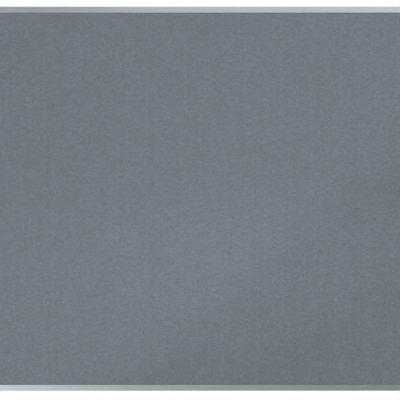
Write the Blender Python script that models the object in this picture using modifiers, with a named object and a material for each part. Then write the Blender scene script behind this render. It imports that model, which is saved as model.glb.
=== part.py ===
"""Felt notice board for a wall: a felt-faced panel held in an aluminium frame with moulded corners.

Metres, +Z up. The origin is the middle of the board on the wall plane, with +X to the right
and the felt facing -Y. Every piece of the frame is drawn in an edge frame of its own, whose
axes run along the edge, inward to the middle of the board, and forward from the wall.
"""

import math

import bmesh
import bpy
from mathutils import Matrix, Vector

# Overall size, measured over the moulded corners
BOARD_WIDTH = 1.200
BOARD_HEIGHT = 0.900

# Panel, from the back to the front
HARDBOARD_THICKNESS = 0.0020
SOFTBOARD_THICKNESS = 0.0090
FELT_THICKNESS = 0.0020
GLUE_LINE = 0.0003

# Running gap between pieces that seat on each other
SEAT_GAP = 0.0003

# Rail, an aluminium extrusion: a hollow chamber, and two lips beyond it that hold the panel
RAIL_CHAMBER = 0.0090
RAIL_FRONT_LIP = 0.0050
RAIL_BACK_LIP = 0.0040
RAIL_WALL = 0.0012
RAIL_FRONT_RADIUS = 0.0015
RAIL_BACK_RADIUS = 0.0010
RAIL_LIP_RADIUS = 0.0004
RAIL_CHAMBER_RADIUS = 0.0005

# Corner, a plastic moulding that plugs into two rails and takes the wall screw
CORNER_SIDE_PROUD = 0.0005
CORNER_FRONT_PROUD = 0.0006
CORNER_BACK_PROUD = 0.0010
CORNER_ROUND = 0.0090
CORNER_LEG_STRAIGHT = 0.0118
CORNER_EDGE_RADIUS = 0.0010
CORNER_BACK_EDGE_RADIUS = 0.0004
MOULD_WALL = 0.0018
CORE_RADIUS = 0.0006
RIB_THICKNESS = 0.0012
RIB_SETBACK = 0.0020

# Wall fixing in each corner: a pocket for the screw head over a neck, in a boss on the wall
FIXING_INSET = 0.0115
NECK_RADIUS = 0.00325
NECK_LENGTH = 0.0030
POCKET_RADIUS = 0.00575
POCKET_DEPTH = 0.0087
BOSS_WALL = 0.00185
BOSS_FOOT_WIDTH = 0.0026
COVER_SEAT_LEDGE = 0.00125
COVER_SEAT_DEPTH = 0.0016
PRY_NOTCH_WIDTH = 0.0030
PRY_NOTCH_LENGTH = 0.0012
PRY_NOTCH_DEPTH = 0.0010

# Push-in cover over the wall screw
COVER_FLUSH_DROP = 0.0002
COVER_CROWN = 0.0005
COVER_EDGE_RADIUS = 0.0004
SKIRT_HEADROOM = 0.0024
SKIRT_WALL = 0.0010
SKIRT_BEAD = 0.00015
SKIRT_BEAD_RISE = 0.0009
SKIRT_SLOT = 0.0012
SKIRT_SLOT_ROOT = 0.0008

# Tongue of the corner inside the chamber of a rail
TONGUE_LENGTH = 0.0260
TONGUE_TAPER_LENGTH = 0.0040
TONGUE_TAPER = 0.0008
TONGUE_WALL = 0.0014
TONGUE_FLOOR = 0.0020
TONGUE_SCREW_BLOCK = 0.0080
TONGUE_SCREW_SHARE = 0.50
CRUSH_RIDGE_RADIUS = 0.0005
CRUSH_RIDGE_RISE_SHARE = 0.50
CRUSH_RIDGE_SHARES = (0.16, 0.78)

# Countersunk screw that locks a rail to a tongue
SCREW_LENGTH = 0.0095
SCREW_HEAD_RADIUS = 0.0026
SCREW_HEAD_RIM = 0.0002
SCREW_CONE_LENGTH = 0.0012
SCREW_SHANK_RADIUS = 0.0012
SCREW_POINT = 0.0020
SCREW_SUNK = 0.0001

# How finely round shapes are cut, and how far a cutter overruns what it cuts
FINE_RADIUS = 0.0020
SMALL_ARC_STEPS = 4
LARGE_ARC_STEPS = 12
BEVEL_STEPS = 3
TURNED_STEPS = 32
SCREW_STEPS = 16
CRUSH_RIDGE_SIDES = 8
OVERRUN = 0.0020
WELD = 0.00001
FLAT_ANGLE = math.radians(1)
SHARP_ANGLE = math.radians(35)

# Depths, measured forward from the wall plane
rail_back = CORNER_BACK_PROUD
hardboard_back = rail_back + RAIL_WALL + SEAT_GAP
softboard_back = hardboard_back + HARDBOARD_THICKNESS + GLUE_LINE
felt_back = softboard_back + SOFTBOARD_THICKNESS + GLUE_LINE
felt_front = felt_back + FELT_THICKNESS
lip_underside = felt_front + SEAT_GAP
rail_front = lip_underside + RAIL_WALL
corner_front = rail_front + CORNER_FRONT_PROUD
pocket_floor = corner_front - POCKET_DEPTH
back_bore_floor = pocket_floor - NECK_LENGTH
cover_seat = corner_front - COVER_SEAT_DEPTH

# Radii about the wall fixing
boss_radius = POCKET_RADIUS + BOSS_WALL
back_bore_radius = boss_radius - BOSS_FOOT_WIDTH
cover_seat_radius = POCKET_RADIUS + COVER_SEAT_LEDGE

# Distances inward from the outer face of the corners
rail_outer = CORNER_SIDE_PROUD
rail_web = rail_outer + RAIL_CHAMBER
rail_inner = rail_web + RAIL_FRONT_LIP
panel_edge = rail_web + SEAT_GAP
corner_lip = rail_inner + CORNER_SIDE_PROUD
chamber_middle = rail_outer + RAIL_CHAMBER / 2

# The cut-off corner of the panel runs along x + y = clip_sum, clear of the fixing boss
clip_sum = 2 * FIXING_INSET + math.sqrt(2) * boss_radius
panel_clip_sum = clip_sum + math.sqrt(2) * SEAT_GAP

# Distances along an edge from the outer face of the corner
corner_leg = clip_sum - rail_web + CORNER_LEG_STRAIGHT
screw_station = corner_leg + TONGUE_SCREW_SHARE * TONGUE_LENGTH

# The four edges, anticlockwise from the bottom one, as seen from the front
EDGES = ("bottom", "right", "top", "left")
ALONG = (Vector((1, 0, 0)), Vector((0, 0, 1)), Vector((-1, 0, 0)), Vector((0, 0, -1)))
FORWARD = Vector((0, -1, 0))


def clear_scene():
    """Remove the objects of the startup scene."""
    for obj in list(bpy.data.objects):
        bpy.data.objects.remove(obj, do_unlink=True)


def new_collection(name):
    collection = bpy.data.collections.new(name)
    bpy.context.scene.collection.children.link(collection)
    return collection


def finish(name, colour, roughness, metallic=0.0):
    """Principled material of one linear colour."""
    material = bpy.data.materials.new(name)
    material.use_nodes = True
    shader = material.node_tree.nodes["Principled BSDF"]
    shader.inputs["Base Color"].default_value = (*colour, 1.0)
    shader.inputs["Roughness"].default_value = roughness
    shader.inputs["Metallic"].default_value = metallic
    material.diffuse_color = (*colour, 1.0)
    return material


def rounded(corners):
    """Outline through (x, y, radius) corners, where an arc of that radius turns each corner."""
    outline = []
    for i, (x, y, radius) in enumerate(corners):
        corner = Vector((x, y))
        if radius == 0:
            outline.append(corner)
            continue
        before = (Vector(corners[i - 1][:2]) - corner).normalized()
        after = (Vector(corners[(i + 1) % len(corners)][:2]) - corner).normalized()
        half = math.acos(max(-1.0, min(1.0, before.dot(after)))) / 2
        centre = corner + (before + after).normalized() * (radius / math.sin(half))
        start = corner + before * (radius / math.tan(half)) - centre
        end = corner + after * (radius / math.tan(half)) - centre
        sweep = math.atan2(start.cross(end), start.dot(end))
        steps = SMALL_ARC_STEPS if radius < FINE_RADIUS else LARGE_ARC_STEPS
        for step in range(steps + 1):
            turn = Matrix.Rotation(sweep * step / steps, 2)
            outline.append(centre + turn @ start)
    return outline


def swapped(outline):
    """The outline mirrored in the diagonal of a corner."""
    return [(y, x) for x, y in outline]


def baked(obj):
    """The object as evaluated, welded and facing outwards, as a plain mesh at the origin."""
    bpy.context.view_layer.update()
    graph = bpy.context.evaluated_depsgraph_get()
    mesh = bpy.data.meshes.new_from_object(obj.evaluated_get(graph))
    mesh.transform(obj.matrix_world)
    shape = bmesh.new()
    shape.from_mesh(mesh)
    bmesh.ops.remove_doubles(shape, verts=shape.verts, dist=WELD)
    bmesh.ops.recalc_face_normals(shape, faces=shape.faces)
    shape.to_mesh(mesh)
    shape.free()
    name = obj.name
    bpy.data.objects.remove(obj, do_unlink=True)
    return helper(name, mesh)


def helper(name, data):
    """An object on the bench, shown as wire, that only helps to make a part."""
    obj = bpy.data.objects.new(name, data)
    obj.hide_render = True
    obj.display_type = "WIRE"
    bench.objects.link(obj)
    return obj


def flat_faced(obj):
    """The object with the triangles of each flat face made one face."""
    shape = bmesh.new()
    shape.from_mesh(obj.data)
    bmesh.ops.dissolve_limit(
        shape, angle_limit=FLAT_ANGLE, verts=shape.verts, edges=shape.edges
    )
    shape.to_mesh(obj.data)
    shape.free()
    return obj


def extrusion(name, outlines, low, high):
    """Solid between z = low and z = high, inside the first outline and outside the others."""
    curve = bpy.data.curves.new(name, "CURVE")
    curve.dimensions = "2D"
    curve.fill_mode = "BOTH"
    curve.extrude = (high - low) / 2
    for outline in outlines:
        spline = curve.splines.new("POLY")
        spline.points.add(len(outline) - 1)
        spline.use_cyclic_u = True
        for point, (x, y) in zip(spline.points, outline):
            point.co = (x, y, 0, 1)
    obj = helper(name, curve)
    obj.location.z = (low + high) / 2
    return flat_faced(baked(obj))


def turned(name, profile, steps):
    """Solid of revolution about z, from (radius, z) points down its outer side, axis to axis."""
    mesh = bpy.data.meshes.new(name)
    edges = [(i, i + 1) for i in range(len(profile) - 1)]
    mesh.from_pydata([(radius, 0, z) for radius, z in profile], edges, [])
    obj = helper(name, mesh)
    screw = obj.modifiers.new("turn", "SCREW")
    screw.steps = screw.render_steps = steps
    screw.use_merge_vertices = True
    screw.merge_threshold = WELD
    return baked(obj)


def cylinder(name, radius, low, high, at=(0, 0), steps=TURNED_STEPS):
    """Upright cylinder from z = low to z = high."""
    mesh = bpy.data.meshes.new(name)
    shape = bmesh.new()
    bmesh.ops.create_cone(
        shape, cap_ends=True, segments=steps, radius1=radius, radius2=radius, depth=high - low
    )
    shape.to_mesh(mesh)
    shape.free()
    obj = helper(name, mesh)
    obj.location = (*at, (low + high) / 2)
    return baked(obj)


def block(name, size, middle, turn=0.0):
    """Box of that size about its middle, turned about z."""
    mesh = bpy.data.meshes.new(name)
    shape = bmesh.new()
    bmesh.ops.create_cube(shape, size=1)
    bmesh.ops.scale(shape, vec=size, verts=shape.verts)
    shape.to_mesh(mesh)
    shape.free()
    obj = helper(name, mesh)
    obj.location = middle
    obj.rotation_euler.z = turn
    return baked(obj)


def combined(base, operation, *tools):
    """The base after a Boolean with each tool in turn. The tools are used up."""
    for tool in tools:
        modifier = base.modifiers.new(tool.name, "BOOLEAN")
        modifier.operation = operation
        modifier.object = tool
    result = baked(base)
    for tool in tools:
        bpy.data.objects.remove(tool, do_unlink=True)
    return result


def round_rims(obj, low_radius, high_radius):
    """Round the outer rims of an upright extrusion, each by its own radius."""
    shape = bmesh.new()
    shape.from_mesh(obj.data)
    low = min(vertex.co.z for vertex in shape.verts)
    high = max(vertex.co.z for vertex in shape.verts)
    widest = max(low_radius, high_radius)
    weights = shape.edges.layers.float.new("bevel_weight_edge")
    for edge in shape.edges:
        heights = [vertex.co.z for vertex in edge.verts]
        if max(heights) - low < WELD:
            edge[weights] = low_radius / widest
        elif high - min(heights) < WELD:
            edge[weights] = high_radius / widest
    shape.to_mesh(obj.data)
    shape.free()
    bevel = obj.modifiers.new("round", "BEVEL")
    bevel.limit_method = "WEIGHT"
    bevel.width = widest
    bevel.segments = BEVEL_STEPS
    return baked(obj)


def part(name, source, material, matrix):
    """A piece of the board, with the mesh of a bench object, placed in the world."""
    mesh = source.data
    if not mesh.materials:
        mesh.name = name
        mesh.materials.append(material)
        mesh.shade_smooth()
        mesh.set_sharp_from_angle(angle=SHARP_ANGLE)
    obj = bpy.data.objects.new(name, mesh)
    board.objects.link(obj)
    obj.parent = root
    obj.matrix_world = matrix
    return obj


def edge_length(quarter):
    return BOARD_HEIGHT if quarter % 2 else BOARD_WIDTH


def edge_frame(quarter):
    """Matrix to the world from the middle of an edge, on the wall plane."""
    along = ALONG[quarter]
    inward = ALONG[(quarter + 1) % len(ALONG)]
    axes = Matrix((along, inward, FORWARD)).transposed().to_4x4()
    middle = -inward * edge_length(quarter + 1) / 2
    return Matrix.Translation(middle) @ axes


def corner_frame(quarter):
    """Matrix to the world from the corner at which an edge starts."""
    return edge_frame(quarter) @ Matrix.Translation((-edge_length(quarter) / 2, 0, 0))


def panel_outline():
    """The panel seen from the front: a rectangle whose corners are cut off."""
    right = BOARD_WIDTH / 2 - panel_edge
    top = BOARD_HEIGHT / 2 - panel_edge
    cut = panel_clip_sum - 2 * panel_edge
    return [
        (-right + cut, -top),
        (right - cut, -top),
        (right, -top + cut),
        (right, top - cut),
        (right - cut, top),
        (-right + cut, top),
        (-right, top - cut),
        (-right, -top + cut),
    ]


def make_panel():
    """Hardboard, softboard and felt, glued together and cut as one."""
    upright = Matrix((ALONG[0], ALONG[1], FORWARD)).transposed().to_4x4()
    layers = (
        ("hardboard_back", hardboard_back, HARDBOARD_THICKNESS, hardboard),
        ("softboard_core", softboard_back, SOFTBOARD_THICKNESS, softboard),
        ("felt_facing", felt_back, FELT_THICKNESS, felt),
    )
    for name, back, thickness, material in layers:
        sheet = extrusion("sheet", [panel_outline()], back, back + thickness)
        part(name, sheet, material, upright)


def rail_section():
    """The rail's outer outline and its chamber, as (inward, forward) points."""
    back_lip = rail_web + RAIL_BACK_LIP
    outer = rounded(
        [
            (rail_outer, rail_back, RAIL_BACK_RADIUS),
            (back_lip, rail_back, RAIL_LIP_RADIUS),
            (back_lip, rail_back + RAIL_WALL, RAIL_LIP_RADIUS),
            (rail_web, rail_back + RAIL_WALL, RAIL_LIP_RADIUS),
            (rail_web, lip_underside, RAIL_LIP_RADIUS),
            (rail_inner, lip_underside, RAIL_LIP_RADIUS),
            (rail_inner, rail_front, RAIL_LIP_RADIUS),
            (rail_outer, rail_front, RAIL_FRONT_RADIUS),
        ]
    )
    chamber = rounded(
        [
            (rail_outer + RAIL_WALL, rail_back + RAIL_WALL, RAIL_CHAMBER_RADIUS),
            (rail_web - RAIL_WALL, rail_back + RAIL_WALL, RAIL_CHAMBER_RADIUS),
            (rail_web - RAIL_WALL, lip_underside, RAIL_CHAMBER_RADIUS),
            (rail_outer + RAIL_WALL, lip_underside, RAIL_CHAMBER_RADIUS),
        ]
    )
    return outer, chamber


def screw_profile(clearance):
    """Half outline of the locking screw from its point down to its head, grown by a clearance."""
    head = SCREW_HEAD_RADIUS + clearance
    shank = SCREW_SHANK_RADIUS + clearance
    tip = SCREW_LENGTH + clearance
    low = -clearance
    return [
        (0, tip),
        (shank, tip - SCREW_POINT),
        (shank, SCREW_CONE_LENGTH),
        (head, SCREW_HEAD_RIM),
        (head, low),
        (0, low),
    ]


def screw_hole(name, along, inward):
    """Cutter for a locking screw that enters from the back of a rail."""
    hole = turned(name, screw_profile(SEAT_GAP), SCREW_STEPS)
    hole.location = (along, inward, rail_back + SCREW_SUNK)
    return baked(hole)


def make_rail(length):
    """Extruded rail about the middle of its edge, drilled and countersunk near both ends."""
    run = length - 2 * (corner_leg + SEAT_GAP)
    rail = extrusion("rail", rail_section(), -run / 2, run / 2)
    rail.matrix_world = Matrix(((0, 0, 1, 0), (1, 0, 0, 0), (0, 1, 0, 0), (0, 0, 0, 1)))
    rail = baked(rail)
    station = length / 2 - screw_station
    holes = [screw_hole("hole", side * station, chamber_middle) for side in (-1, 1)]
    return combined(rail, "DIFFERENCE", *holes)


def make_tongue(turn, low, high):
    """Tongue along one leg, with a tapered tip and crush ridges along both sides."""
    half = RAIL_CHAMBER / 2 - RAIL_WALL - SEAT_GAP
    root_x = corner_leg - MOULD_WALL / 2
    tip_x = corner_leg + TONGUE_LENGTH
    taper_x = tip_x - TONGUE_TAPER_LENGTH
    outline = [
        (root_x, chamber_middle - half),
        (taper_x, chamber_middle - half),
        (tip_x, chamber_middle - half + TONGUE_TAPER),
        (tip_x, chamber_middle + half - TONGUE_TAPER),
        (taper_x, chamber_middle + half),
        (root_x, chamber_middle + half),
    ]
    tongue = extrusion("tongue", [turn(outline)], low, high)
    offset = half + CRUSH_RIDGE_RISE_SHARE * SEAT_GAP - CRUSH_RIDGE_RADIUS
    ridges = [
        cylinder("ridge", CRUSH_RIDGE_RADIUS, low, high, at, CRUSH_RIDGE_SIDES)
        for at in turn(
            [
                (corner_leg + share * TONGUE_LENGTH, chamber_middle + side * offset)
                for share in CRUSH_RIDGE_SHARES
                for side in (-1, 1)
            ]
        )
    ]
    return combined(tongue, "UNION", *ridges)


def tongue_pocket_outlines():
    """The two lightening pockets, one on each side of the block that takes the screw."""
    half = RAIL_CHAMBER / 2 - RAIL_WALL - SEAT_GAP - TONGUE_WALL
    spans = (
        (corner_leg + TONGUE_WALL, screw_station - TONGUE_SCREW_BLOCK / 2),
        (
            screw_station + TONGUE_SCREW_BLOCK / 2,
            corner_leg + TONGUE_LENGTH - TONGUE_TAPER_LENGTH,
        ),
    )
    return [
        [
            (start, chamber_middle - half),
            (end, chamber_middle - half),
            (end, chamber_middle + half),
            (start, chamber_middle + half),
        ]
        for start, end in spans
    ]


def mould_core():
    """What the mould leaves hollow behind the front plate: a cavity around the boss and ribs."""
    body = rail_web
    inner = body - MOULD_WALL
    end = corner_leg - MOULD_WALL
    inner_sum = clip_sum - math.sqrt(2) * MOULD_WALL
    cavity = extrusion(
        "cavity",
        [
            rounded(
                [
                    (MOULD_WALL, MOULD_WALL, CORNER_ROUND - MOULD_WALL),
                    (end, MOULD_WALL, CORE_RADIUS),
                    (end, inner, CORE_RADIUS),
                    (inner_sum - inner, inner, 0),
                    (inner, inner_sum - inner, 0),
                    (inner, end, CORE_RADIUS),
                    (MOULD_WALL, end, CORE_RADIUS),
                ]
            )
        ],
        -OVERRUN,
        lip_underside,
    )
    rib_height = lip_underside + OVERRUN - RIB_SETBACK
    rib_middle = RIB_SETBACK + rib_height / 2
    leg_rib = clip_sum - body
    diagonal = (math.sqrt(2) * FIXING_INSET, RIB_THICKNESS, rib_height)
    ribs = [
        block(
            "rib_to_left_wall",
            (FIXING_INSET, RIB_THICKNESS, rib_height),
            (FIXING_INSET / 2, FIXING_INSET, rib_middle),
        ),
        block(
            "rib_to_lower_wall",
            (RIB_THICKNESS, FIXING_INSET, rib_height),
            (FIXING_INSET, FIXING_INSET / 2, rib_middle),
        ),
        block(
            "rib_to_corner",
            diagonal,
            (FIXING_INSET / 2, FIXING_INSET / 2, rib_middle),
            math.radians(45),
        ),
        block(
            "rib_across_one_leg",
            (RIB_THICKNESS, body, rib_height),
            (leg_rib, body / 2, rib_middle),
        ),
        block(
            "rib_across_other_leg",
            (body, RIB_THICKNESS, rib_height),
            (body / 2, leg_rib, rib_middle),
        ),
    ]
    boss = cylinder(
        "boss", boss_radius, -2 * OVERRUN, lip_underside + OVERRUN, (FIXING_INSET, FIXING_INSET)
    )
    return combined(cavity, "DIFFERENCE", boss, *ribs)


def fixing_cutters():
    """The stepped way for the wall screw, and the seat and pry notch of its cover."""
    at = (FIXING_INSET, FIXING_INSET)
    notch_reach = (cover_seat_radius + PRY_NOTCH_LENGTH) / 2
    notch_turn = math.radians(45)
    return [
        cylinder("back_bore", back_bore_radius, -OVERRUN, back_bore_floor, at),
        cylinder("neck", NECK_RADIUS, back_bore_floor - OVERRUN, pocket_floor + OVERRUN, at),
        cylinder("head_pocket", POCKET_RADIUS, pocket_floor, corner_front + OVERRUN, at),
        cylinder("cover_seat", cover_seat_radius, cover_seat, corner_front + OVERRUN, at),
        block(
            "pry_notch",
            (2 * notch_reach, PRY_NOTCH_WIDTH, PRY_NOTCH_DEPTH + OVERRUN),
            (
                FIXING_INSET + notch_reach * math.cos(notch_turn),
                FIXING_INSET + notch_reach * math.sin(notch_turn),
                corner_front + (OVERRUN - PRY_NOTCH_DEPTH) / 2,
            ),
            notch_turn,
        ),
    ]


def make_corner():
    """Moulded corner, hollow from behind, with a fixing boss and a tongue for each rail."""
    plate = rounded(
        [
            (0, 0, CORNER_ROUND),
            (corner_leg, 0, 0),
            (corner_leg, corner_lip, 0),
            (corner_lip, corner_lip, corner_leg - corner_lip),
            (corner_lip, corner_leg, 0),
            (0, corner_leg, 0),
        ]
    )
    # The web arc starts and ends on the leg ends, so its end points stand for those corners.
    plate = [point for i, point in enumerate(plate) if (point - plate[i - 1]).length > WELD]
    corner = extrusion("corner", [plate], 0, corner_front)
    corner = round_rims(corner, CORNER_BACK_EDGE_RADIUS, CORNER_EDGE_RADIUS)

    beyond = corner_leg + OVERRUN
    panel_notch = [
        (clip_sum - rail_web, rail_web),
        (beyond, rail_web),
        (beyond, beyond),
        (rail_web, beyond),
        (rail_web, clip_sum - rail_web),
    ]
    notch = extrusion("panel_notch", [panel_notch], -OVERRUN, lip_underside)
    corner = combined(corner, "DIFFERENCE", notch, mould_core())

    tongue_back = rail_back + RAIL_WALL + SEAT_GAP
    tongue_front = lip_underside - SEAT_GAP
    tongues = []
    hollows = []
    for turn in (list, swapped):
        tongues.append(make_tongue(turn, tongue_back, tongue_front))
        for pocket in tongue_pocket_outlines():
            hollows.append(
                extrusion("pocket", [turn(pocket)], 0, tongue_front - TONGUE_FLOOR)
            )
        ((along, inward),) = turn([(screw_station, chamber_middle)])
        hollows.append(screw_hole("pilot", along, inward))
    corner = combined(corner, "UNION", *tongues)
    return combined(corner, "DIFFERENCE", *hollows, *fixing_cutters())


def make_cover():
    """Push-in cover: a crowned disc with a split skirt, about the axis of the fixing."""
    rim = cover_seat_radius - SEAT_GAP
    under = cover_seat + SEAT_GAP
    edge = corner_front - COVER_FLUSH_DROP
    skirt = POCKET_RADIUS - SEAT_GAP - SKIRT_BEAD
    skirt_end = pocket_floor + SKIRT_HEADROOM
    bead = skirt_end + SKIRT_BEAD_RISE
    crown = [
        (rim * math.sin(turn), edge + COVER_CROWN * math.cos(turn))
        for turn in (math.radians(90) * step / SMALL_ARC_STEPS for step in range(SMALL_ARC_STEPS))
    ]
    rim_edge = [(rim, edge), (rim, under + COVER_EDGE_RADIUS), (rim - COVER_EDGE_RADIUS, under)]
    profile = [
        *crown,
        *rim_edge,
        (skirt, under),
        (skirt, bead + SKIRT_BEAD_RISE / 2),
        (skirt + SKIRT_BEAD, bead),
        (skirt - SKIRT_WALL / 2, skirt_end),
        (skirt - SKIRT_WALL, skirt_end),
        (skirt - SKIRT_WALL, under),
        (0, under),
    ]
    cover = turned("cover", profile, TURNED_STEPS)
    slot_height = under - SKIRT_SLOT_ROOT - skirt_end + OVERRUN
    slot_middle = (0, 0, skirt_end - OVERRUN + slot_height / 2)
    across = 2 * cover_seat_radius
    slots = [
        block("slot", (across, SKIRT_SLOT, slot_height), slot_middle, math.radians(turn))
        for turn in (45, 135)
    ]
    return combined(cover, "DIFFERENCE", *slots)


def make_frame():
    """Rails, corners, covers and locking screws, edge by edge round the board."""
    rails = [make_rail(BOARD_WIDTH), make_rail(BOARD_HEIGHT)]
    corner = make_corner()
    cover = make_cover()
    screw = turned("screw", screw_profile(0), SCREW_STEPS)
    fixing = Matrix.Translation((FIXING_INSET, FIXING_INSET, 0))
    for quarter, edge in enumerate(EDGES):
        previous = EDGES[quarter - 1]
        place = f"{edge}_{previous}" if edge in ("bottom", "top") else f"{previous}_{edge}"
        frame = corner_frame(quarter)
        part(f"rail_{edge}", rails[quarter % 2], aluminium, edge_frame(quarter))
        part(f"corner_{place}", corner, plastic, frame)
        part(f"cover_{place}", cover, plastic, frame @ fixing)
        head = rail_back + SCREW_SUNK
        for rail, end, along, inward in (
            (edge, previous, screw_station, chamber_middle),
            (previous, edge, chamber_middle, screw_station),
        ):
            at = Matrix.Translation((along, inward, head))
            part(f"screw_{rail}_rail_{end}_end", screw, steel, frame @ at)


def clear_bench():
    """Remove the objects that the parts took their meshes from."""
    for obj in list(bench.objects):
        bpy.data.objects.remove(obj, do_unlink=True)


clear_scene()
board = new_collection("felt_notice_board")
bench = new_collection("bench")
root = bpy.data.objects.new("board", None)
board.objects.link(root)

felt = finish("grey_needle_felt", (0.170, 0.195, 0.223), 0.95)
softboard = finish("softboard", (0.270, 0.210, 0.140), 0.90)
hardboard = finish("hardboard", (0.150, 0.075, 0.038), 0.60)
aluminium = finish("anodised_aluminium", (0.560, 0.580, 0.590), 0.38, 1.0)
plastic = finish("light_grey_abs", (0.420, 0.440, 0.450), 0.45)
steel = finish("zinc_plated_steel", (0.600, 0.610, 0.620), 0.30, 1.0)

make_panel()
make_frame()
clear_bench()
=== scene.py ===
import math

import bmesh
import bpy
from bpy.props import FloatProperty, FloatVectorProperty, IntProperty, PointerProperty
from bpy.types import NodeSocket, Operator, Panel, PropertyGroup
from mathutils import Euler, Matrix, Vector


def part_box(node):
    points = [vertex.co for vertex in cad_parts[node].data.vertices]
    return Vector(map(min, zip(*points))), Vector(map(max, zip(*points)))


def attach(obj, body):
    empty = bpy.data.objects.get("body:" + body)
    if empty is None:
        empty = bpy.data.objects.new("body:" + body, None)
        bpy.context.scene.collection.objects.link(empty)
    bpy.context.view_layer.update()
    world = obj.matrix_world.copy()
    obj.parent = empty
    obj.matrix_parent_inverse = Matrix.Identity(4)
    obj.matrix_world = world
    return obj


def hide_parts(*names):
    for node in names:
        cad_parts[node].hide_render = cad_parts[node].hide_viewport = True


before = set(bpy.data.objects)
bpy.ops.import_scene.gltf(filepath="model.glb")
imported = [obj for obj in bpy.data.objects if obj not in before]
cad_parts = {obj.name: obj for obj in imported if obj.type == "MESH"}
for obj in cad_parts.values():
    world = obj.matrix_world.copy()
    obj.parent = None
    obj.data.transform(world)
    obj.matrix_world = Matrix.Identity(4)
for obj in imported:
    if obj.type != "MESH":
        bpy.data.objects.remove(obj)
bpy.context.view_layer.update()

bl_info = {
    "name": "Felt Notice Board Finish",
    "version": (1, 0, 0),
    "blender": (4, 5, 0),
    "location": "View3D > Sidebar > Notice Board",
    "description": "Felt, frame, fixings and studio for a framed notice board",
    "category": "Object",
}

BOARD = "board"
PLACES = ("bottom_left", "bottom_right", "top_right", "top_left")
# The edges in order round the board, and the way that each rail runs
EDGES = ("bottom", "right", "top", "left")
ALONG = (Vector((1, 0, 0)), Vector((0, 0, 1)), Vector((-1, 0, 0)), Vector((0, 0, -1)))
FORWARD = Vector((0, -1, 0))
# A rail's two screws are named for the edges that its ends meet
SCREWS = [
    f"screw_{edge}_rail_{end}_end"
    for quarter, edge in enumerate(EDGES)
    for end in (EDGES[quarter - 1], EDGES[(quarter + 1) % 4])
]

# Patterns are sized in millimetres, and everything else in metres
MM = 0.001
# Noise lies mostly between these values, where a pattern has its low and its high level
NOISE_RANGE = {"From Min": 0.3, "From Max": 0.7}
# Points this near to each other are one, and shapes that are joined or cut lap by it
WELD = 0.00001
RELIEF_SEED = 3.7
FIBRE_SEED = 11
RECESS_SEED = 5

# Sizes of the extrusion and the turned parts, as the solids have them, apart from the extrusion's
# front and fine radii, which are the sharper ones that the photographed edges show
RAIL_WALL = 0.0012
RAIL_FRONT_LIP = 0.0050
RAIL_BACK_LIP = 0.0040
RAIL_FRONT_RADIUS = 0.0008
RAIL_BACK_RADIUS = 0.0010
RAIL_FINE_RADIUS = 0.0003
CHAMBER_RADIUS = 0.0005
SCREW_CLEARANCE = 0.0003
SCREW_RIM = 0.0002
SCREW_CONE = 0.0012
SCREW_SHANK = 0.0012
SCREW_POINT = 0.0020
SCREW_SIDES = 40
DRILL_OVERRUN = 0.002
DRILL_SIDES = 32
COVER_CROWN = 0.0005
COVER_EDGE = 0.0016
COVER_EDGE_RADIUS = 0.0004
COVER_ARC_STEPS = 10
SKIRT_RADIUS = 0.0053
SKIRT_WALL = 0.0010
SKIRT_BEAD = 0.00015
SKIRT_BEAD_RISE = 0.0009
SKIRT_SLOT = 0.0012
SKIRT_SLOT_ROOT = 0.0008

# A kind of fibre for each sideways bow, a share of half its length. The middle is drawn towards
# the height of the rise, and the ends lie in the felt at a share of it. Then the range of scales
FIBRE_BOW_SHARES = (-0.6, -0.2, 0.35, 0.8)
FIBRE_RISE = 0.0003
FIBRE_END_SHARE = -0.4
FIBRE_SCALES = (0.45, 1.35)

# Soft boxes as name, degrees to the right, degrees above the board's middle, and watts
SOFT_BOXES = (
    ("left_box", -44, 9, 28.3),
    ("low_left_box", -22, -9, 7.0),
    ("near_left_box", -24, 9, 0.6),
    ("low_middle_box", 0, -9, 1.9),
    ("low_right_box", 24, -9, 0.9),
    ("middle_box", 0, 24, 5.2),
    ("near_right_box", 24, 24, 6.9),
    ("right_box", 64, 9, 13.8),
    ("upper_right_box", 64, 24, 41.5),
    ("overhead_box", 0, 71, 9.0),
)
BOX_DISTANCE = 3.3
BOX_SIDE = 1.2
# Spots as name, place, the point that they aim at, cone in degrees, blend and watts
SPOTS = (
    ("edge_spot", (0.015, -0.64, -0.04), (-0.51, -0.11, 0.625), 158.3, 0.215, 1.6),
    ("glow_spot", (2.925, -0.70, 0.38), (-0.78, -0.016, -0.355), 11.5, 0.97, 146),
)
SPOT_RADIUS = 0.0
# The world grows from the room's level to white between a ray's y of 0 and this
BACKDROP_FADE = 0.35
# White's share in the floor's middle, and the shares of its radius between which it grows to 1
FLOOR_WHITE_SHARE = 0.4
FLOOR_FADE_SHARES = (0.35, 0.98)
FLOOR_SIDES = 128
PICTURE_SIDE = 400
SENSOR_WIDTH = 36


def srgb(code):
    """Linear colour of an sRGB hex code."""
    shares = [int(code[i : i + 2], 16) / 255 for i in (1, 3, 5)]
    return tuple(s / 12.92 if s <= 0.04045 else ((s + 0.055) / 1.055) ** 2.4 for s in shares)


def colour_property(name, description, code):
    return FloatVectorProperty(
        name=name, description=description, default=srgb(code), subtype="COLOR", size=3, min=0, max=1
    )


def length_property(name, description, default, high=0.1):
    return FloatProperty(
        name=name, description=description, default=default, min=0, max=high, unit="LENGTH", precision=5
    )


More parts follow.
